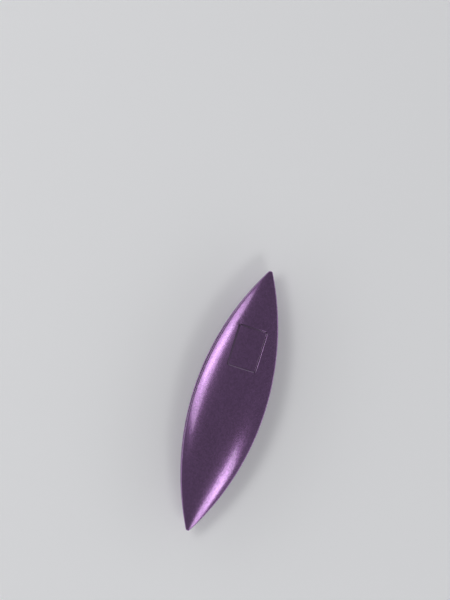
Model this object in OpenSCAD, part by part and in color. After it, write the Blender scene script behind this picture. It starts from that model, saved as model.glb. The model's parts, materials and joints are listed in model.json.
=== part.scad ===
// Post tatting shuttle in moulded plastic: two curved blades with pointed tips that touch at both
// ends, held apart by a post on which the thread is wound.
// X runs along the shuttle, Y across it and Z up. The origin is the centre of the post, on the
// parting plane midway between the blades.

/* [Overall] */
// Length over the two tips
shuttle_l = 70; // [60:0.5:84]
// Width across the middle
shuttle_w = 18.8; // [15.6:0.1:22.6]
// Height over the two crowns
shuttle_h = 10; // [8.4:0.1:12]

/* [Blades] */
// Wall of a blade at its crown
wall_t = 1.1; // [0.8:0.05:1.4]
// Height of a blade's outer edge at the middle, from the gap up to the dome
rim_t = 1; // [0.8:0.05:1.3]
// Thickness of one blade at its tip
tip_t = 0.7; // [0.5:0.05:0.9]
// Radius of a tip, seen from above
tip_r = 0.65; // [0.4:0.05:0.9]
// Width of the flat land on a blade's rim, at the middle
rim_land = 0.75; // [0.6:0.05:0.9]

/* [Thread gap] */
// Open height between the blades' rims, at the middle
gap_h = 4.4; // [3.6:0.1:5.2]
// Length of the flat faces on which the tips touch
nip_l = 1.8; // [1.4:0.1:2.4]
// Solid length between a blade's hollow and its nip
tip_web = 0.4; // [0.3:0.05:0.6]

/* [Recessed panel] */
// Length of the recessed panel, along the shuttle
panel_l = 11.1; // [8:0.1:13.4]
// Width of the panel
panel_w = 7.8; // [6:0.1:9]
// Distance from the middle of the shuttle to the panel's middle
panel_x = 14.5; // [13.5:0.1:16]
// Depth of the panel below the dome
panel_depth = 0.3; // [0.2:0.05:0.4]
// Radius of the panel's corners
panel_r = 0.7; // [0.4:0.1:1]

/* [Post] */
// Length of the post, along the shuttle
post_l = 9.5; // [8:0.1:11.5]
// Width of the post
post_w = 5; // [4.2:0.1:6]
// Diameter of the crosswise hole that catches the thread's end
thread_d = 2; // [1.6:0.1:2.4]
// Chamfer round both mouths of the thread hole
thread_chamfer = 0.3; // [0.2:0.05:0.4]

/* [Pegs and pads] */
// Diameter of the pegs on the post's ends
peg_d = 2.2; // [1.8:0.1:2.6]
// Height of a peg
peg_h = 0.9; // [0.7:0.05:1]
// Distance between the two pegs of one end
peg_pitch = 5; // [4:0.1:6]
// Clearance round a peg and above its end
peg_clear = 0.03; // [0.02:0.01:0.06]
// Height of the flat pad inside a blade, below the hollow's crown
pad_t = 0.5; // [0.4:0.05:0.6]
// How far a pad reaches past the post, all round
pad_margin = 0.5; // [0.3:0.1:0.7]

/* [Hidden] */
$fa = 1;
$fs = 0.2;
pearl = [0.42, 0.29, 0.46];
pearl_shade = [0.36, 0.25, 0.40];
crown_z = shuttle_h / 2;
hollow_z = crown_z - wall_t;
pad_z = hollow_z - pad_t;
hollow_l = shuttle_l - 2 * (nip_l + tip_web);
gap_l = shuttle_l - 2 * nip_l;
// The dome and the hollow are rounds wider than the blade, whose outline trims them: the dome
// meets the outline at the rim's height, and the hollow meets the gap at the land's inner edge
dome_w = full_w(shuttle_w, gap_h / 2 + rim_t, crown_z);
hollow_w = full_w(shuttle_w - 2 * rim_land, gap_h / 2, hollow_z);
// Depth and length past everything that a cut goes through
past = 2;

// Radius of the arc that rises by rise over a chord
function arc_r(chord, rise) = (pow(chord / 2, 2) + pow(rise, 2)) / (2 * rise);

// Full width of the ellipse of half-height top that is width wide at height z
function full_w(width, z, top) = width / sqrt(1 - pow(z / top, 2));

// A lens along X: two arcs of radius arc that meet in points, thick across the middle
module lens(arc, thick) {
    intersection() {
        translate([0, thick / 2 - arc]) circle(r = arc);
        translate([0, arc - thick / 2]) circle(r = arc);
    }
}

// A pointed round along X: half a lens turned about its chord, then widened across to width
module spindle(arc, thick, width) {
    scale([1, width / thick, 1])
        rotate([0, 90, 0])
            rotate_extrude()
                intersection() {
                    translate([thick / 2 - arc, 0]) circle(r = arc);
                    translate([0, -arc]) square([arc, 2 * arc]);
                }
}

// The full round that the dome's outer face belongs to, sunk below that face by depth
module dome(depth = 0) {
    arc = arc_r(shuttle_l, crown_z - tip_t);
    spindle(arc - depth, shuttle_h - 2 * depth, dome_w - 2 * depth);
}

// The space inside both blades
module hollow() {
    spindle(arc_r(hollow_l, hollow_z), 2 * hollow_z, hollow_w);
}

// The shuttle seen from above: two arcs that meet at the tips, with each tip rounded
module outline() {
    // The radius at which a tip's arc touches both side arcs, and where it touches them
    half_w = shuttle_w / 2;
    nose_x = shuttle_l / 2 - tip_r;
    side_r = (pow(nose_x, 2) + pow(half_w, 2) - pow(tip_r, 2)) / (2 * (half_w - tip_r));
    touch_x = nose_x * side_r / (side_r - tip_r);
    difference() {
        lens(side_r, shuttle_w);
        for (end = [-1, 1])
            scale([end, 1])
                difference() {
                    translate([touch_x, -half_w]) square([shuttle_l, shuttle_w]);
                    translate([nose_x, 0]) circle(r = tip_r);
                }
    }
}

// The lens-shaped slot between the rims, through both sides
module thread_gap() {
    rotate([90, 0, 0])
        linear_extrude(shuttle_w + 2 * past, center = true)
            lens(arc_r(gap_l, gap_h / 2), gap_h);
}

// A slot with round ends, length long over all
module stadium(length, width) {
    straight = length - width;
    square([straight, width], center = true);
    for (end = [-1, 1])
        translate([end * straight / 2, 0]) circle(d = width);
}

// A rectangle with round corners
module round_rectangle(length, width, corner) {
    square([length - 2 * corner, width], center = true);
    square([length, width - 2 * corner], center = true);
    for (x = [-1, 1], y = [-1, 1])
        translate([x * (length / 2 - corner), y * (width / 2 - corner)]) circle(r = corner);
}

// Both pegs of one end, or with grow both sockets, upwards from z = 0
module peg_pair(grow = 0) {
    for (end = [-1, 1])
        translate([end * peg_pitch / 2, 0, 0])
            cylinder(d = peg_d + 2 * grow, h = peg_h + grow);
}

// One blade above the parting plane: shell, land, tip and the pad that takes the post
module blade() {
    difference() {
        union() {
            difference() {
                intersection() {
                    dome();
                    linear_extrude(shuttle_h) outline();
                }
                hollow();
                thread_gap();
            }
            translate([0, 0, pad_z])
                linear_extrude(pad_t + wall_t / 2)
                    stadium(post_l + 2 * pad_margin, post_w + 2 * pad_margin);
        }
        translate([0, 0, pad_z]) peg_pair(peg_clear);
    }
}

// The bare panel, sunk into the dome to an even depth
module panel_recess() {
    difference() {
        translate([panel_x, 0, 0])
            linear_extrude(shuttle_h) round_rectangle(panel_l, panel_w, panel_r);
        dome(panel_depth);
    }
}

module upper_blade() {
    color(pearl)
        difference() {
            blade();
            panel_recess();
        }
}

module lower_blade() {
    color(pearl) rotate([0, 180, 0]) blade();
}

// The winding core: a post with round ends, its thread hole and the pegs that fix both blades
module centre_post() {
    mouth_d = thread_d + 2 * thread_chamfer;
    color(pearl_shade)
        difference() {
            union() {
                linear_extrude(2 * pad_z, center = true) stadium(post_l, post_w);
                for (side = [0, 180])
                    rotate([side, 0, 0]) translate([0, 0, pad_z]) peg_pair();
            }
            rotate([90, 0, 0]) cylinder(d = thread_d, h = post_w + 2 * past, center = true);
            for (side = [-90, 90])
                rotate([side, 0, 0])
                    translate([0, 0, post_w / 2 - thread_chamfer])
                        cylinder(d1 = thread_d, d2 = mouth_d, h = thread_chamfer);
        }
}

upper_blade();
lower_blade();
centre_post();
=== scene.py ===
# %% [markdown]
# # A tatting shuttle in pearl lilac plastic
#
# A post shuttle is a small closed boat, 70 mm long. Two curved blades touch at their tips, and a post
# between them holds the wound thread. This lesson models the blades and the post as a mould maker
# would think of them, gives them a pearl finish, and lights them with two soft boxes.
#
# The frame comes first. It holds the CAD solids at their real size and place, and every piece made
# below takes the place of one of them, so the frame is also what each piece is measured against.

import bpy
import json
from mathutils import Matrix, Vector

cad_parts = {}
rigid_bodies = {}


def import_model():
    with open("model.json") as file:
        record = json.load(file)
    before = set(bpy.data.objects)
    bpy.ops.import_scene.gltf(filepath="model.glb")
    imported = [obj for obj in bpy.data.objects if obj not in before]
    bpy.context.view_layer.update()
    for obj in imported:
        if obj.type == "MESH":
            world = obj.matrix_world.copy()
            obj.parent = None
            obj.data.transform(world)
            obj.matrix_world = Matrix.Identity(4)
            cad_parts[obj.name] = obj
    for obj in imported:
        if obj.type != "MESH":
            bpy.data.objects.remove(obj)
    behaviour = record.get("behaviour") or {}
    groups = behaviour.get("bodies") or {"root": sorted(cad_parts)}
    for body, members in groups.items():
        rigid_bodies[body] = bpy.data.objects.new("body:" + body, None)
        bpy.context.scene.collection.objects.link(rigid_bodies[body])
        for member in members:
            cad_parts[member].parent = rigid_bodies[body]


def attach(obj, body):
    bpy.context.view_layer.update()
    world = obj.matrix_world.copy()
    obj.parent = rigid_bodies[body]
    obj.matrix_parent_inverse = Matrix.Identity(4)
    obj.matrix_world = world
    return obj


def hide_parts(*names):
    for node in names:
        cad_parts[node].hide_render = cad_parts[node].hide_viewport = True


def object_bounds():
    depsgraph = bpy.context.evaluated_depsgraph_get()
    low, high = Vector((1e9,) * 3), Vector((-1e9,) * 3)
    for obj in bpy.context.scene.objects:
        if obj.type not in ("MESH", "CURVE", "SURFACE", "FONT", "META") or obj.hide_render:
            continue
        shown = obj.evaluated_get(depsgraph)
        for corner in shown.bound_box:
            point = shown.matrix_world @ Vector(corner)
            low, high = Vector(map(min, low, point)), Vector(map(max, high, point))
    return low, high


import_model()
cad_low, cad_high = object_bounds()
print("CAD box, mm:", [round(1000 * (b - a), 2) for a, b in zip(cad_low, cad_high)])

# %% [markdown]
# ## Working by hand, but in writing
#
# Every operator acts on what is selected, just as it does under the mouse. Two habits keep that
# safe: one piece is taken alone before it is worked on, and in edit mode everything is deselected
# before new points are picked. All sizes are written in millimetres and turned into metres as they
# are read. A point is picked by its place, or by the named line or sheet that it was drawn on.

# %% Habits
import json
import math

import bmesh
import bpy
from mathutils import Matrix, Vector

MM = 0.001
WHOLLY = 0.99


def take(piece):
    """Selects one piece alone and makes it the active one."""
    bpy.ops.object.select_all(action="DESELECT")
    piece.select_set(True)
    bpy.context.view_layer.objects.active = piece


def start_edit(piece):
    """Takes a piece into edit mode with nothing selected."""
    take(piece)
    bpy.ops.object.mode_set(mode="EDIT")
    bpy.ops.mesh.select_mode(type="VERT")
    bpy.ops.mesh.select_all(action="DESELECT")


def end_edit():
    """Back to object mode."""
    bpy.ops.object.mode_set(mode="OBJECT")


# %% Pick points
def pick(piece, test, *names):
    """In edit mode: selects the points whose place in millimetres passes the test, on the named parts."""
    mesh = bmesh.from_edit_mesh(piece.data)
    weights = mesh.verts.layers.deform.verify()
    numbers = [piece.vertex_groups[name].index for name in names]
    for point in mesh.verts:
        point.select_set(False)
    for point in mesh.verts:
        named = not names or any(point[weights].get(n, 0) > WHOLLY for n in numbers)
        if named and test(*(point.co / MM)):
            point.select_set(True)
    mesh.select_flush_mode()
    bmesh.update_edit_mesh(piece.data)
    return sum(point.select for point in mesh.verts)


def pick_line(piece, *names):
    """In edit mode: selects all the points that were drawn on these named lines."""
    return pick(piece, lambda x, y, z: True, *names)


# %% [markdown]
# ## The sizes, and the arcs that they set
#
# A moulded shuttle is drawn with a compass. From above, each side is one long arc that meets a small
# round at the tip. From the side, the back of a blade is one arc, its hollow is a second, and the
# gap between the blades is a third. Each arc is known from its chord and its rise, so the few sizes
# below settle the whole form.

# %% Sizes of the shuttle
LENGTH, WIDTH, HEIGHT = 70 * MM, 18.8 * MM, 10 * MM
TIP_ROUND, TIP_THICK = 0.65 * MM, 0.7 * MM
WALL, RIM, LAND = 1.1 * MM, 1.0 * MM, 0.75 * MM
GAP, NIP, WEB = 4.4 * MM, 1.8 * MM, 0.4 * MM
CROWN = HEIGHT / 2
HOLLOW = CROWN - WALL


def arc_radius(chord, rise):
    """Radius of the arc that rises so far over a chord."""
    return ((chord / 2) ** 2 + rise**2) / (2 * rise)


def full_width(width, height, top):
    """Width of the whole ellipse of half-height top that is this wide at this height."""
    return width / math.sqrt(1 - (height / top) ** 2)


crown_arc = arc_radius(LENGTH, CROWN - TIP_THICK)
hollow_arc = arc_radius(LENGTH - 2 * (NIP + WEB), HOLLOW)
gap_arc = arc_radius(LENGTH - 2 * NIP, GAP / 2)
crown_width = full_width(WIDTH, GAP / 2 + RIM, CROWN)
hollow_width = full_width(WIDTH - 2 * LAND, GAP / 2, HOLLOW)
nose_x = LENGTH / 2 - TIP_ROUND
side_arc = (nose_x**2 + (WIDTH / 2) ** 2 - TIP_ROUND**2) / (WIDTH - 2 * TIP_ROUND)
side_centre = WIDTH / 2 - side_arc
for name, radius in (("back", crown_arc), ("hollow", hollow_arc), ("gap", gap_arc), ("side", side_arc)):
    print(f"{name} arc: {radius / MM:.1f} mm")

# %% [markdown]
# ## Three forms to lay the surfaces on
#
# The blade is drawn flat first and then laid onto smooth forms, the way a sheet is pressed into
# a mould. It could also be pushed up point by point, but a glossy surface shows every small error
# as a kink in its highlight. The forms are spun from true arcs, so the surface that is laid on them
# is true as well.
#
# The back and the hollow are pointed rounds. One arc is spun about the long axis, and the round is
# then widened, because a blade is wider than it is high.

# %% Draw with dots and arcs
def new_piece(name):
    """An empty mesh, taken into edit mode."""
    bpy.ops.object.select_all(action="DESELECT")
    bpy.ops.object.add(type="MESH")
    piece = bpy.context.object
    piece.name = piece.data.name = name
    bpy.ops.object.mode_set(mode="EDIT")
    bpy.ops.mesh.select_mode(type="VERT")
    return piece


def add_dot(x, y, z=0):
    """In edit mode: one new point, selected alone."""
    bpy.ops.mesh.select_all(action="DESELECT")
    bpy.ops.mesh.primitive_plane_add(size=MM, location=(x, y, z))
    bpy.ops.mesh.merge(type="CENTER")


def sweep(steps, angle, centre, axis=(0, 0, 1)):
    """In edit mode: spins what is selected about a centre, clockwise as seen along the axis's tip."""
    bpy.ops.mesh.spin(steps=steps, angle=angle, center=centre, axis=axis)


# %% Spin the two rounds
def pointed_round(name, arc, rise, width):
    """The upper half of a pointed round along X, closely stepped."""
    form = new_piece(name)
    half_turn = math.acos((arc - rise) / arc)
    add_dot(-arc * math.sin(half_turn), 0)
    sweep(180, 2 * half_turn, (0, rise - arc, 0))
    bpy.ops.mesh.select_all(action="SELECT")
    sweep(160, math.pi, (0, 0, 0), axis=(-1, 0, 0))
    bpy.ops.mesh.select_all(action="SELECT")
    bpy.ops.mesh.remove_doubles(threshold=0.001 * MM)
    bpy.ops.transform.resize(value=(1, width / (2 * rise), 1), center_override=(0, 0, 0))
    end_edit()
    print(name, [round(side / MM, 2) for side in form.dimensions], len(form.data.polygons), "faces")
    return form


crown_form = pointed_round("crown_form", crown_arc, CROWN, crown_width)
hollow_form = pointed_round("hollow_form", hollow_arc, HOLLOW, hollow_width)

# %% [markdown]
# The gap's form is a sheet that is curved one way only: the arc of the rims, with a flat stretch
# beyond each end where the tips of the two blades touch.

# %% Bend the gap's form
gap_form = new_piece("gap_form")
gap_turn = math.asin((LENGTH / 2 - NIP) / gap_arc)
add_dot(-LENGTH / 2 - MM, -WIDTH)
bpy.ops.mesh.extrude_region_move(TRANSFORM_OT_translate={"value": (NIP + MM, 0, 0)})
sweep(160, 2 * gap_turn, (0, -WIDTH, GAP / 2 - gap_arc), axis=(0, -1, 0))
bpy.ops.mesh.extrude_region_move(TRANSFORM_OT_translate={"value": (NIP + MM, 0, 0)})
bpy.ops.mesh.select_all(action="SELECT")
bpy.ops.mesh.extrude_region_move(TRANSFORM_OT_translate={"value": (0, 2 * WIDTH, 0)})
end_edit()
print("gap form", [round(side / MM, 2) for side in gap_form.dimensions])

# %% [markdown]
# ## A quarter of a blade, drawn in lines
#
# A blade is alike on both sides of its length and of its width, so a quarter is enough. It is drawn
# as lines that run from the middle to the tip, all with the same number of points: the outline, the
# same outline drawn further in for the rounded rim, and the inner edge of the land. Lines with equal
# points can be bridged into clean rows of four-sided faces.
#
# The points along a line are placed so that a row falls on each end of the recessed panel and on
# the start of the flat tip. Lines for the back, the land and the hollow are drawn at three heights,
# like three sheets of tracing paper, so that they can be told apart later.

# %% Where the rows fall
PANEL_LENGTH, PANEL_WIDTH, PANEL_MIDDLE = 11.1 * MM, 7.8 * MM, 14.5 * MM
PANEL_DEPTH, PANEL_LIP = 0.3 * MM, 0.08 * MM
panel_start = PANEL_MIDDLE - PANEL_LENGTH / 2 - PANEL_LIP
panel_end = PANEL_MIDDLE + PANEL_LENGTH / 2 + PANEL_LIP
panel_side = PANEL_WIDTH / 2 + PANEL_LIP
STEPS = (9, 12, 14, 2)
NOSE_STEPS = 5
BACK_SHEET, LAND_SHEET, HOLLOW_SHEET = 8 * MM, -3 * MM, -6 * MM
places = (panel_start, panel_end, LENGTH / 2 - NIP)
print("rows at", [round(x / MM, 2) for x in places], "mm")


# %% Draw one line
def turns_to(places, radius, last):
    """The angles of the stretches of an arc that pass these places along the length."""
    angles = [math.asin(x / radius) for x in places] + [last]
    return [b - a for a, b in zip([0] + angles, angles)]


def outline_line(piece, name, inset, height):
    """In edit mode: a quarter of the outline, drawn further in by inset, as a named line."""
    radius, nose_turn = side_arc - inset, math.atan2(nose_x, -side_centre)
    add_dot(0, WIDTH / 2 - inset, height)
    for steps, turn in zip(STEPS, turns_to(places, side_arc - RIM_INSETS["back_edge"], nose_turn)):
        sweep(steps, turn, (0, side_centre, 0))
    sweep(NOSE_STEPS, math.pi / 2 - nose_turn, (nose_x, 0, 0))
    name_line(piece, name)


def name_line(piece, name):
    """In edit mode: gives the line that was just drawn its name."""
    bpy.ops.mesh.select_linked()
    bpy.ops.object.vertex_group_assign_new()
    piece.vertex_groups.active.name = name


# %% [markdown]
# The rim isn't a sharp corner. A moulded edge is rounded by about a fifth of a millimetre, and
# that small round is what catches the light as a fine bright line all along the shuttle. Three lines
# shape it at the back, and three shape the softer edge towards the land. Each has an inset from the
# outline and a drop from the form that it is laid on.

# %% Draw the rim's lines
RIM_INSETS = {"back_edge": 0.2 * MM, "back_round": 0.05 * MM, "wall_top": 0,
              "wall_foot": 0, "land_round": 0.05 * MM, "land_edge": 0.2 * MM}
RIM_DROPS = {"back_round": -0.05 * MM, "wall_top": -0.2 * MM,
             "wall_foot": 0.2 * MM, "land_round": 0.05 * MM}
quarter = new_piece("quarter")
for name, inset in RIM_INSETS.items():
    on_back = name in ("back_edge", "back_round", "wall_top")
    outline_line(quarter, name, inset, BACK_SHEET if on_back else LAND_SHEET)
print("points on each line:", len(bmesh.from_edit_mesh(quarter.data).verts) // len(RIM_INSETS))

# %% [markdown]
# The land is the flat lip that faces the other blade. Its inner edge, where the hollow begins, is
# very nearly an arc too, through the land's width at the middle and the hollow's point near the tip.

# %% Draw the land's inner edge
land_middle = WIDTH / 2 - LAND
land_tip, land_bend = 32.3 * MM, 31.4 * MM
land_arc = (land_tip**2 + land_middle**2) / (2 * land_middle)
LIP_ROUND = 0.1 * MM


def land_line(piece, name, offset, height):
    """In edit mode: a quarter of the land's inner edge, drawn further out by offset."""
    radius, centre = land_arc + offset, land_middle - land_arc
    add_dot(0, centre + radius, height)
    ends = (panel_start, panel_end, land_bend)
    steps = STEPS[:3] + (STEPS[3] + NOSE_STEPS,)
    for count, turn in zip(steps, turns_to(ends, radius, math.acos(-centre / radius))):
        sweep(count, turn, (0, centre, 0))
    name_line(piece, name)


land_line(quarter, "land_inner", LIP_ROUND, LAND_SHEET)
land_line(quarter, "hollow_edge", -LIP_ROUND, HOLLOW_SHEET)
print("land's inner arc:", round(land_arc / MM, 2), "mm")

# %% [markdown]
# Two more lines cross the back inside the rim: one that runs along the panel's side, and the middle
# line. The hollow has its middle line as well. Each is a copy of a line that is there, squeezed
# towards the middle.


# %% Squeeze a line inwards
def squeezed_line(piece, source, name, share):
    """In edit mode: a copy of a line, with its distance from the middle reduced to this share."""
    pick_line(piece, source)
    bpy.ops.mesh.duplicate()
    bpy.ops.object.vertex_group_remove_from(use_all_groups=True)
    bpy.ops.transform.resize(value=(1, share, 1), center_override=(0, 0, 0))
    name_line(piece, name)


edge_radius = side_arc - RIM_INSETS["back_edge"]
edge_beside_panel = math.sqrt(edge_radius**2 - panel_end**2) + side_centre
squeezed_line(quarter, "back_edge", "panel_side", panel_side / edge_beside_panel)
squeezed_line(quarter, "back_edge", "back_middle", 0)
squeezed_line(quarter, "hollow_edge", "hollow_middle", 0)

# %% Straighten the line along the panel
NEAR = 0.01
straightened = pick(quarter, lambda x, y, z: x < panel_end / MM + NEAR, "panel_side")
bpy.ops.transform.resize(value=(1, 0, 1), center_override=(0, panel_side, 0))
print("straightened", straightened, "points at", round(panel_side / MM, 2), "mm")


# %% Bridge the lines into rows of faces
def bridge(piece, first, second, cuts=0):
    """In edit mode: fills the strip between two named lines, with so many cuts along it."""
    pick_line(piece, first, second)
    bpy.ops.mesh.bridge_edge_loops(number_cuts=cuts, interpolation="LINEAR")


rows = ["back_middle", "panel_side", "back_edge", "back_round", "wall_top", "wall_foot", "land_round",
        "land_edge", "land_inner", "hollow_edge", "hollow_middle"]
cuts = {"panel_side": 4, "back_edge": 4, "land_inner": 1, "hollow_middle": 5}
for first, second in zip(rows, rows[1:]):
    bridge(quarter, first, second, cuts.get(second, 0))
bpy.ops.mesh.select_all(action="SELECT")
bpy.ops.mesh.remove_doubles(threshold=0.001 * MM)
end_edit()
print("quarter:", len(quarter.data.polygons), "faces")

# %% [markdown]
# ## Laying the sheets on their forms
#
# A Shrinkwrap modifier drops each sheet straight down onto its form. It is told which points to
# move, so each sheet is first picked by its height and given a name.


# %% Lay one sheet
def lay_sheet(piece, height, form):
    """Drops the points of one sheet along Z onto a form."""
    start_edit(piece)
    count = pick(piece, lambda x, y, z: abs(z - height / MM) < NEAR)
    bpy.ops.object.vertex_group_assign_new()
    sheet = piece.vertex_groups.active.name = "sheet_" + form.name
    end_edit()
    wrap = piece.modifiers.new("lay", "SHRINKWRAP")
    wrap.target, wrap.vertex_group = form, sheet
    wrap.wrap_method, wrap.use_project_z = "PROJECT", True
    wrap.use_positive_direction = wrap.use_negative_direction = True
    bpy.ops.object.modifier_apply(modifier=wrap.name)
    print(count, "points laid on", form.name)


lay_sheet(quarter, BACK_SHEET, crown_form)
lay_sheet(quarter, LAND_SHEET, gap_form)
lay_sheet(quarter, HOLLOW_SHEET, hollow_form)

# %% Round the rim
start_edit(quarter)
for name, drop in RIM_DROPS.items():
    pick_line(quarter, name)
    bpy.ops.transform.translate(value=(0, 0, drop))
end_edit()
print("quarter, mm:", [round(side / MM, 2) for side in quarter.dimensions])

# %% [markdown]
# ## From a quarter to a whole blade
#
# A Mirror modifier adds the other three quarters and joins them along both middle lines. Mirroring
# can leave faces turned inwards, so the normals are made to agree once the doubles are gone.

# %% Mirror the quarter
take(quarter)
mirror = quarter.modifiers.new("quarters", "MIRROR")
mirror.use_axis = (True, True, False)
mirror.merge_threshold = 0.002 * MM
bpy.ops.object.modifier_apply(modifier=mirror.name)
blade = quarter
blade.name = blade.data.name = "blade"
start_edit(blade)
bpy.ops.mesh.select_all(action="SELECT")
bpy.ops.mesh.normals_make_consistent(inside=False)
bpy.ops.mesh.select_all(action="DESELECT")
bpy.ops.mesh.select_non_manifold()
open_edges = sum(edge.select for edge in bmesh.from_edit_mesh(blade.data).edges)
end_edit()
print("blade:", len(blade.data.polygons), "faces,", open_edges, "open edges")

# %% [markdown]
# The two blades are the same moulding until the panel is cut, so the lower one is copied now, with
# its own mesh.

# %% Copy the blade for the lower half
take(blade)
bpy.ops.object.duplicate(linked=False)
lower = bpy.context.object
lower.name = lower.data.name = "lower_shell"
upper = blade
upper.name = upper.data.name = "upper_shell"
print(upper.name, "and", lower.name)

# %% [markdown]
# ## The recessed panel
#
# The upper blade has a shallow rectangular recess near one tip, 0.3 mm deep with an even floor. It is
# left bare. Its corners are round in plan, so the four corner points are pulled in a little, and
# repeated insets then make the edge: a lip, a gentle slope, a steeper slope and a small round at the
# foot. The slopes are what the photograph shows as a line. Insets keep every row of faces whole,
# which a cut with a block would not.

# %% Sink the panel
PANEL_INSETS = ((0.06, 0), (0.15, 0.07), (0.2, 0.19), (0.06, 0.03), (0.06, 0.01))
CORNER_PULL = 0.13 * MM
start_edit(upper)
middle, half, side = [size / MM for size in (PANEL_MIDDLE, (panel_end - panel_start) / 2, panel_side)]
reach = 2 * NEAR
corners = pick(upper, lambda x, y, z: abs(abs(x - middle) - half) < reach and abs(abs(y) - side) < reach,
               "sheet_crown_form")
bpy.ops.transform.resize(value=(1 - CORNER_PULL / MM / half, 1 - CORNER_PULL / panel_side, 1),
                         center_override=(PANEL_MIDDLE, 0, 0))
points = pick(upper, lambda x, y, z: abs(x - middle) < half + reach and abs(y) < side + reach,
              "sheet_crown_form")
bpy.ops.mesh.select_mode(type="FACE")
for inset, depth in PANEL_INSETS:
    bpy.ops.mesh.inset(thickness=inset * MM, depth=-depth * MM)
bpy.ops.mesh.select_mode(type="VERT")
end_edit()
depth = sum(depth for _, depth in PANEL_INSETS)
print(corners, "corners and", points, "points in the panel; depth", round(depth, 2), "mm")

# %% [markdown]
# ## Smoothing the blades
#
# The rows drawn so far are a cage. Subdivision turns it into one flowing surface, and because the
# rim and the panel have their own narrow rows, those edges stay crisp. The modifier is applied,
# since the pads are joined to the finished surface next.


# %% Subdivide
def smooth_cage(piece, levels):
    """Applies Catmull-Clark subdivision."""
    take(piece)
    cage = piece.modifiers.new("flow", "SUBSURF")
    cage.levels = cage.render_levels = levels
    bpy.ops.object.modifier_apply(modifier=cage.name)
    size = [round(side / MM, 3) for side in piece.dimensions]
    print(piece.name, len(piece.data.polygons), "faces, mm:", size)


smooth_cage(upper, 2)
smooth_cage(lower, 2)

# %% [markdown]
# ## Pads and sockets
#
# Inside each blade a flat pad takes the end of the post, with two blind sockets for its pegs. Both
# are round-ended blocks. A block is a cylinder whose two halves are moved apart, and a Boolean joins
# the pad to the blade and cuts the sockets. Here a cut is the right tool: the pad is a machined
# shape in the mould, and it meets the hollow in a plain line.

# %% Make round-ended blocks and pins
POST_LENGTH, POST_WIDTH = 9.5 * MM, 5 * MM
PAD_THICK, PAD_MARGIN = 0.5 * MM, 0.5 * MM
PEG, PEG_HEIGHT, PEG_PITCH, PEG_CLEAR = 2.2 * MM, 0.9 * MM, 5 * MM, 0.03 * MM
pad_face = HOLLOW - PAD_THICK


def pin(name, diameter, low, high, x=0, sides=48):
    """A cylinder from one height to another."""
    bpy.ops.object.select_all(action="DESELECT")
    bpy.ops.mesh.primitive_cylinder_add(
        vertices=sides, radius=diameter / 2, depth=high - low,
        location=(x, 0, (low + high) / 2), rotation=(0, 0, math.pi / sides))
    bpy.ops.object.transform_apply(location=True, rotation=True, scale=True)
    made = bpy.context.object
    made.name = made.data.name = name
    return made


def round_ended(name, length, width, low, high, sides=64):
    """A block with round ends: a cylinder whose two halves are moved apart."""
    block = pin(name, width, low, high, sides=sides)
    start_edit(block)
    for end in (-1, 1):
        pick(block, lambda x, y, z: end * x > 0)
        bpy.ops.transform.translate(value=(end * (length - width) / 2, 0, 0))
    end_edit()
    return block


# %% Join and cut
def combine(piece, tool, how):
    """Joins the tool to the piece, or cuts the piece with it, and puts the tool away."""
    take(piece)
    joint = piece.modifiers.new("combine", "BOOLEAN")
    joint.object, joint.operation, joint.solver = tool, how, "EXACT"
    bpy.ops.object.modifier_apply(modifier=joint.name)
    bpy.data.objects.remove(tool)


def fit_pad(shell):
    """Adds the pad and its two sockets inside a blade that lies with its back up."""
    combine(shell, round_ended("pad", POST_LENGTH + 2 * PAD_MARGIN, POST_WIDTH + 2 * PAD_MARGIN,
                               pad_face, pad_face + PAD_THICK + WALL / 2), "UNION")
    top = pad_face + PEG_HEIGHT + PEG_CLEAR
    for end in (-1, 1):
        socket = pin("socket", PEG + 2 * PEG_CLEAR, pad_face - MM, top, end * PEG_PITCH / 2)
        combine(shell, socket, "DIFFERENCE")
    print(shell.name, "with pad:", len(shell.data.polygons), "faces")


fit_pad(upper)
fit_pad(lower)

# %% Turn the lower blade over
start_edit(lower)
bpy.ops.mesh.select_all(action="SELECT")
bpy.ops.transform.rotate(value=math.pi, orient_axis="X", center_override=(0, 0, 0))
end_edit()
print("lower blade from", round(min(v.co.z for v in lower.data.vertices) / MM, 2), "mm")

# %% [markdown]
# ## The post
#
# The post is the core that the thread is wound on: an upright with round ends, so that the thread
# isn't nicked, and a hole across it in which the thread's end is knotted. Its pegs are moulded on and
# pressed into the sockets. A Bevel modifier takes the sharpness off every edge at once.

# %% Make the post
post = round_ended("post", POST_LENGTH, POST_WIDTH, -pad_face, pad_face)
for end in (-1, 1):
    pegs = pin("pegs", PEG, -pad_face - PEG_HEIGHT, pad_face + PEG_HEIGHT, end * PEG_PITCH / 2)
    combine(post, pegs, "UNION")
print("post with pegs, mm:", [round(side / MM, 2) for side in post.dimensions])

# %% Bore the thread hole
THREAD_HOLE, HOLE_CHAMFER, DRILL_PAST = 2 * MM, 0.3 * MM, 0.2 * MM
drill = pin("drill", THREAD_HOLE, -POST_WIDTH, POST_WIDTH)
start_edit(drill)
for side in (-1, 1):
    pick(drill, lambda x, y, z: side * z > 0)
    bpy.ops.transform.translate(value=(0, 0, side * (POST_WIDTH / 2 - HOLE_CHAMFER - POST_WIDTH)))
    flare = HOLE_CHAMFER + DRILL_PAST
    bpy.ops.mesh.extrude_region_move(TRANSFORM_OT_translate={"value": (0, 0, side * flare)})
    wider = 1 + 2 * flare / THREAD_HOLE
    bpy.ops.transform.resize(value=(wider, wider, 1), center_override=(0, 0, 0))
bpy.ops.mesh.select_all(action="SELECT")
bpy.ops.transform.rotate(value=math.pi / 2, orient_axis="X", center_override=(0, 0, 0))
bpy.ops.mesh.normals_make_consistent(inside=False)
end_edit()
combine(post, drill, "DIFFERENCE")
print("bored:", len(post.data.polygons), "faces")

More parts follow.
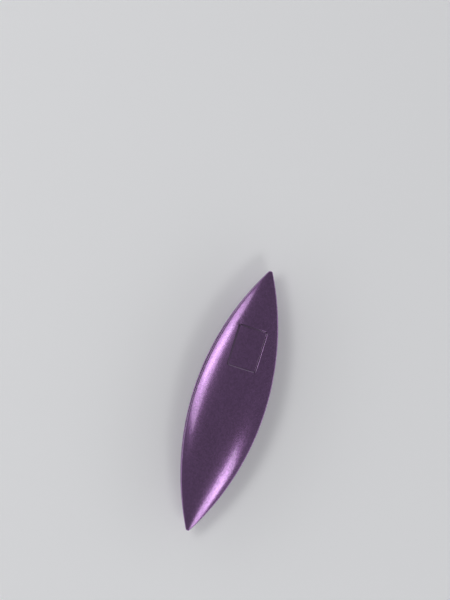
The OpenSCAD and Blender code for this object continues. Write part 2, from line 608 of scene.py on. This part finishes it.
# %% Soften the post's edges
take(post)
soften = post.modifiers.new("soften", "BEVEL")
soften.width, soften.segments, soften.limit_method = 0.08 * MM, 2, "ANGLE"
soften.angle_limit = math.radians(30)
bpy.ops.object.modifier_apply(modifier=soften.name)
print("softened:", len(post.data.polygons), "faces")

# %% Put the forms away and shade smoothly
for form in (crown_form, hollow_form, gap_form):
    bpy.data.objects.remove(form)
for piece in (upper, lower, post):
    take(piece)
    bpy.ops.object.shade_smooth_by_angle(angle=math.radians(32))

# %% [markdown]
# ## Pearl plastic
#
# The plastic is lilac with pearl pigment: tiny mica plates that lie in the surface and mirror the
# light in the colour of the plastic. A plain gloss paint would only give white highlights. Here most
# of the reflection is metallic, so that it is tinted, and a clear coat adds some of the white gleam
# of the polished skin. Seen along its surface a bare metal turns white, and pearl plastic doesn't, so
# the Specular Tint keeps that reflection lilac too.
#
# The mica shows as a fine grain. That grain is a node group, because the blades and the post share
# it, each with its own strength.

# %% A group for the pearl's grain
def new_group(name, inputs, outputs):
    """A shader node group with its sockets, and its two end nodes."""
    group = bpy.data.node_groups.new(name, "ShaderNodeTree")
    for label, kind, value in inputs:
        socket = group.interface.new_socket(name=label, in_out="INPUT", socket_type=kind)
        if value is not None:
            socket.default_value = value
    for label, kind in outputs:
        group.interface.new_socket(name=label, in_out="OUTPUT", socket_type=kind)
    start = group.nodes.new("NodeGroupInput")
    end = group.nodes.new("NodeGroupOutput")
    return group, start, end


def wire(tree, kind, settings=None, **inputs):
    """Adds a node, sets it up and plugs in its inputs; a number or colour is set on the socket."""
    node = tree.nodes.new(kind)
    for key, value in (settings or {}).items():
        setattr(node, key, value)
    for key, value in inputs.items():
        socket = node.inputs[int(key[1:])] if key[1:].isdigit() else node.inputs[key.replace("_", " ")]
        if isinstance(value, bpy.types.NodeSocket):
            tree.links.new(value, socket)
        else:
            socket.default_value = value
    return node


FLOAT, COLOUR, VECTOR = "NodeSocketFloat", "NodeSocketColor", "NodeSocketVector"
grain, grain_in, grain_out = new_group(
    "pearl_grain",
    [("Place", VECTOR, None), ("Plates per metre", FLOAT, 3000), ("Contrast", FLOAT, 0.15)],
    [("Shade", FLOAT), ("Relief", FLOAT)])
plates = wire(grain, "ShaderNodeTexVoronoi", Vector=grain_in.outputs["Place"],
              Scale=grain_in.outputs["Plates per metre"])
tone = wire(grain, "ShaderNodeSeparateColor", Color=plates.outputs["Color"])
centred = wire(grain, "ShaderNodeMath", {"operation": "SUBTRACT"}, _0=tone.outputs["Red"], _1=0.5)
shade = wire(grain, "ShaderNodeMath", {"operation": "MULTIPLY_ADD"}, _0=centred.outputs[0],
             _1=grain_in.outputs["Contrast"], _2=1.0)
grain.links.new(shade.outputs[0], grain_out.inputs["Shade"])
grain.links.new(tone.outputs["Green"], grain_out.inputs["Relief"])
print("group", grain.name)

# %% [markdown]
# When the melt fills the mould, the mica streams along the blade and leaves faint lighter and darker
# veils that are long in that direction. This group makes them: a soft noise, stretched along X.

# %% A group for the flow of the melt
flow, flow_in, flow_out = new_group(
    "melt_flow",
    [("Place", VECTOR, None), ("Veils per metre", FLOAT, 220), ("Contrast", FLOAT, 0.12)],
    [("Shade", FLOAT)])
stretched = wire(flow, "ShaderNodeMapping", Vector=flow_in.outputs["Place"], Scale=(0.3, 1, 1))
veils = wire(flow, "ShaderNodeTexNoise", Vector=stretched.outputs[0], Detail=3.0, Roughness=0.5,
             Scale=flow_in.outputs["Veils per metre"])
middle_tone = wire(flow, "ShaderNodeMath", {"operation": "SUBTRACT"}, _0=veils.outputs[0], _1=0.5)
veil_shade = wire(flow, "ShaderNodeMath", {"operation": "MULTIPLY_ADD"}, _0=middle_tone.outputs[0],
                  _1=flow_in.outputs["Contrast"], _2=1.0)
flow.links.new(veil_shade.outputs[0], flow_out.inputs["Shade"])
print("group", flow.name)

# %% [markdown]
# The step round the panel reads as a dark line. Its sloped walls alone stay too light, so this group
# paints the shade into the colour: a painted shade line that darkens a narrow band along a rectangle in
# the plan view, on the back of the blade. It takes the distance to a rectangle with round corners, and
# keeps what lies within half a band of its edge.

# %% A group for the painted shade line round the panel
painted_shade_group, painted_shade_in, painted_shade_out = new_group(
    "panel_painted_shade",
    [("Place", VECTOR, None), ("Middle", VECTOR, None), ("Half size", VECTOR, None),
     ("Corner", FLOAT, 0), ("Half band", FLOAT, 1), ("Depth", FLOAT, 0)],
    [("Shade", FLOAT)])
from_middle = wire(painted_shade_group, "ShaderNodeVectorMath", {"operation": "SUBTRACT"}, _0=painted_shade_in.outputs["Place"],
                   _1=painted_shade_in.outputs["Middle"])
one_quarter = wire(painted_shade_group, "ShaderNodeVectorMath", {"operation": "ABSOLUTE"}, _0=from_middle.outputs[0])
reach = wire(painted_shade_group, "ShaderNodeVectorMath", {"operation": "SUBTRACT"}, _0=one_quarter.outputs[0],
             _1=painted_shade_in.outputs["Half size"])
past = wire(painted_shade_group, "ShaderNodeSeparateXYZ", Vector=reach.outputs[0])
past_x, past_y = [wire(painted_shade_group, "ShaderNodeMath", {"operation": "ADD"}, _0=past.outputs[axis],
                       _1=painted_shade_in.outputs["Corner"]).outputs[0] for axis in "XY"]
inner = wire(painted_shade_group, "ShaderNodeMath", {"operation": "MAXIMUM"}, _0=past_x, _1=past_y)
inner = wire(painted_shade_group, "ShaderNodeMath", {"operation": "MINIMUM"}, _0=inner.outputs[0], _1=0.0)
outer_x, outer_y = [wire(painted_shade_group, "ShaderNodeMath", {"operation": "MAXIMUM"}, _0=side, _1=0.0).outputs[0]
                    for side in (past_x, past_y)]
outer = wire(painted_shade_group, "ShaderNodeCombineXYZ", X=outer_x, Y=outer_y)
outer = wire(painted_shade_group, "ShaderNodeVectorMath", {"operation": "LENGTH"}, _0=outer.outputs[0])
to_corner = wire(painted_shade_group, "ShaderNodeMath", {"operation": "ADD"}, _0=outer.outputs["Value"],
                 _1=inner.outputs[0])
off_edge = wire(painted_shade_group, "ShaderNodeMath", {"operation": "SUBTRACT"}, _0=to_corner.outputs[0],
                _1=painted_shade_in.outputs["Corner"])
off_edge = wire(painted_shade_group, "ShaderNodeMath", {"operation": "ABSOLUTE"}, _0=off_edge.outputs[0])
band = wire(painted_shade_group, "ShaderNodeMath", {"operation": "DIVIDE"}, _0=off_edge.outputs[0],
            _1=painted_shade_in.outputs["Half band"])
near = wire(painted_shade_group, "ShaderNodeMapRange", {"interpolation_type": "SMOOTHSTEP"}, Value=band.outputs[0],
            From_Min=0.5, From_Max=1.0, To_Min=1.0, To_Max=0.0)
height = wire(painted_shade_group, "ShaderNodeSeparateXYZ", Vector=painted_shade_in.outputs["Place"])
on_back = wire(painted_shade_group, "ShaderNodeMath", {"operation": "GREATER_THAN"}, _0=height.outputs["Z"],
               _1=CROWN / 2)
near = wire(painted_shade_group, "ShaderNodeMath", {"operation": "MULTIPLY"}, _0=near.outputs[0],
            _1=on_back.outputs[0])
# Painted shade: how much the band darkens the base colour, set by Depth.
shade_amount = wire(painted_shade_group, "ShaderNodeMath", {"operation": "MULTIPLY"}, _0=near.outputs[0],
            _1=painted_shade_in.outputs["Depth"])
painted_shade_factor = wire(painted_shade_group, "ShaderNodeMath", {"operation": "SUBTRACT"}, _0=1.0, _1=shade_amount.outputs[0])
painted_shade_group.links.new(painted_shade_factor.outputs[0], painted_shade_out.inputs["Shade"])
print("group", painted_shade_group.name)


# %% The pearl finish
def pearl(name, colour, contrast, gloss, line=0):
    """A pearl plastic of one colour, with its own grain contrast, roughness and painted shade round the
    panel.
    """
    finish = bpy.data.materials.new(name)
    finish.use_nodes = True
    tree = finish.node_tree
    skin = tree.nodes["Principled BSDF"]
    skin.inputs["Metallic"].default_value = 0.97
    skin.inputs["Specular Tint"].default_value = (0.8, 0.66, 0.85, 1)
    skin.inputs["Coat Weight"].default_value = 0.65
    skin.inputs["Coat Roughness"].default_value = 0.06
    place = wire(tree, "ShaderNodeTexCoord").outputs["Object"]
    fine = wire(tree, "ShaderNodeGroup", {"node_tree": grain}, Place=place, Contrast=contrast)
    veil = wire(tree, "ShaderNodeGroup", {"node_tree": flow}, Place=place)
    both = wire(tree, "ShaderNodeMath", {"operation": "MULTIPLY"}, _0=fine.outputs["Shade"],
                _1=veil.outputs["Shade"])
    # Painted shade: a darker band in the base colour along the panel's edge, standing in for the shade
    # there.
    half_size = (PANEL_LENGTH / 2 - SHADE_INSET, PANEL_WIDTH / 2 - SHADE_INSET, 0)
    edge = wire(tree, "ShaderNodeGroup", {"node_tree": painted_shade_group}, Place=place, Middle=(PANEL_MIDDLE, 0, 0),
                Half_size=half_size, Corner=SHADE_CORNER, Half_band=SHADE_BAND / 2, Depth=line)
    tone_with_painted_shade = wire(tree, "ShaderNodeMath", {"operation": "MULTIPLY"}, _0=both.outputs[0],
                 _1=edge.outputs["Shade"])
    tint = wire(tree, "ShaderNodeVectorMath", {"operation": "SCALE"}, _0=colour, Scale=tone_with_painted_shade.outputs[0])
    tree.links.new(tint.outputs[0], skin.inputs["Base Color"])
    rough = wire(tree, "ShaderNodeMath", {"operation": "MULTIPLY"}, _0=veil.outputs["Shade"], _1=gloss)
    tree.links.new(rough.outputs[0], skin.inputs["Roughness"])
    bump = wire(tree, "ShaderNodeBump", Strength=0.1, Distance=0.004 * MM,
                Height=fine.outputs["Relief"])
    tree.links.new(bump.outputs[0], skin.inputs["Normal"])
    return finish


LILAC = (0.24, 0.124, 0.288)
# Painted shade: where the darker band round the panel lies and how wide it is; line=0.75 sets how
# strongly the blade's colour is darkened there, and the post gets none.
SHADE_INSET, SHADE_CORNER, SHADE_BAND = 0.24 * MM, 0.46 * MM, 0.5 * MM
blade_pearl = pearl("pearl_lilac_blade", LILAC, 0.3, 0.21, line=0.75)
post_pearl = pearl("pearl_lilac_post", (0.22, 0.108, 0.272), 0.18, 0.24)
for piece, finish in ((upper, blade_pearl), (lower, blade_pearl), (post, post_pearl)):
    piece.data.materials.clear()
    piece.data.materials.append(finish)
print("finishes:", blade_pearl.name, post_pearl.name)

# %% Hand the pieces to the frame
upper.name = upper.data.name = "upper_blade_shell"
lower.name = lower.data.name = "lower_blade_shell"
post.name = post.data.name = "winding_post"
for piece, node, slot in ((upper, "upper_blade", "blade"), (lower, "lower_blade", "blade"),
                          (post, "centre_post", "post")):
    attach(piece, "root")
    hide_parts(node)
    print(piece.name, "stands for", node)

# %% [markdown]
# ## The table, the lamps and the camera
#
# The shuttle lies on a plain pale table, which its belly touches in the middle.

# %% Lay the table
bpy.ops.object.select_all(action="DESELECT")
bpy.ops.mesh.primitive_plane_add(size=4, location=(0, 0, cad_low.z))
bpy.ops.object.transform_apply(location=True, rotation=True, scale=True)
table = bpy.context.object
table.name = "table"
paper = bpy.data.materials.new("pale_table")
paper.use_nodes = True
paper.node_tree.nodes["Principled BSDF"].inputs["Base Color"].default_value = (0.94, 0.94, 0.95, 1)
paper.node_tree.nodes["Principled BSDF"].inputs["Roughness"].default_value = 0.9
table.data.materials.append(paper)
print("table at", round(cad_low.z / MM, 2), "mm")


# %% [markdown]
# Two square soft boxes hang level over the shuttle. Glossy plastic shows its lamps as bands of light,
# so the boxes are placed by the bands: each one hangs where the back of the blade would mirror it to
# the camera. Where a band is brightest, a smaller lamp in the middle of the box adds to it. It hangs
# a centimetre lower, because a mirror shows only one of two lamps that lie in the same plane.

# %% Hang the lamps
LAMP_HEIGHT, MIDDLE_HEIGHT = 0.6, 0.59


def soft_box(name, height, place, size, turn, radiance):
    """A level lamp. Its place and size are shares of its height, and its turn is in degrees."""
    bpy.ops.object.select_all(action="DESELECT")
    bpy.ops.object.light_add(type="AREA", rotation=(0, 0, math.radians(turn)),
                             location=(place[0] * height, place[1] * height, height))
    lamp = bpy.context.object
    lamp.name, lamp.data.shape = name, "RECTANGLE"
    lamp.data.size, lamp.data.size_y = size[0] * height, size[1] * height
    lamp.data.energy = radiance * math.pi * lamp.data.size * lamp.data.size_y
    print(name, "at", [round(c, 3) for c in lamp.location], "m,", round(lamp.data.energy, 2), "W")


soft_box("left_box", LAMP_HEIGHT, (0.15, 0.715), (0.86, 0.50), -15, 2.25)
soft_box("left_bright_middle", MIDDLE_HEIGHT, (0.15, 0.655), (0.43, 0.16), -34, 3.1)
soft_box("right_box", LAMP_HEIGHT, (-0.67, -0.60), (0.60, 0.44), -31, 2.9)
soft_box("right_bright_middle", MIDDLE_HEIGHT, (-0.625, -0.675), (0.19, 0.26), -34, 2.3)

# %% [markdown]
# The room is dark overhead and bright around, like a studio with pale walls under a dark ceiling. The
# ceiling keeps the top of the blade deep in colour, and the walls light the table and the rims.

# %% Light the room
room = bpy.data.worlds.new("room")
bpy.context.scene.world = room
room.use_nodes = True
air = room.node_tree
backdrop = air.nodes["Background"]
backdrop.inputs["Color"].default_value = (0.97, 0.98, 1, 1)
height = wire(air, "ShaderNodeSeparateXYZ", Vector=wire(air, "ShaderNodeTexCoord").outputs["Generated"])
walls = wire(air, "ShaderNodeMapRange", {"interpolation_type": "SMOOTHSTEP"}, Value=height.outputs["Z"],
             From_Min=0.26, From_Max=0.52, To_Min=1.5, To_Max=0.25)
air.links.new(walls.outputs[0], backdrop.inputs["Strength"])
print("room lit")

# %% [markdown]
# The photograph looks almost straight down. The camera is placed from three facts that were measured
# on it: the shuttle's length in pixels, the pixel of its middle, and the lean of its long axis.

# %% Set the camera
FRAME_WIDTH, FRAME_HEIGHT, SENSOR = 450, 600, 36
LEAN = math.radians(17.9)
PIXEL = 1 / 3900
LENS = 120
TILT_SIDE, TILT_UP = math.radians(4.5), math.radians(2)
MIDDLE_PIXEL = (229, 401)
up = Vector((math.cos(LEAN), math.sin(LEAN), 0))
back = Vector((math.tan(TILT_UP), math.tan(TILT_SIDE), 1)).normalized()
distance = FRAME_HEIGHT * PIXEL * LENS / SENSOR
cam_up = (up - up.dot(back) * back).normalized()
cam_right = cam_up.cross(back)
across, down = MIDDLE_PIXEL[0] - FRAME_WIDTH / 2, MIDDLE_PIXEL[1] - FRAME_HEIGHT / 2
aim = PIXEL * (down * cam_up - across * cam_right)
bpy.ops.object.camera_add(location=aim + back * distance)
camera = bpy.context.object
camera.name = "camera"
camera.rotation_mode = "QUATERNION"
turn = Matrix((cam_right, cam_up, back)).transposed()
camera.rotation_quaternion = turn.to_quaternion()
camera.data.lens, camera.data.sensor_width = LENS, SENSOR
camera.data.clip_start, camera.data.clip_end = 0.01, 20
bpy.context.scene.camera = camera
bpy.context.scene.view_settings.view_transform = "Standard"
print("camera", round(distance, 3), "m away")
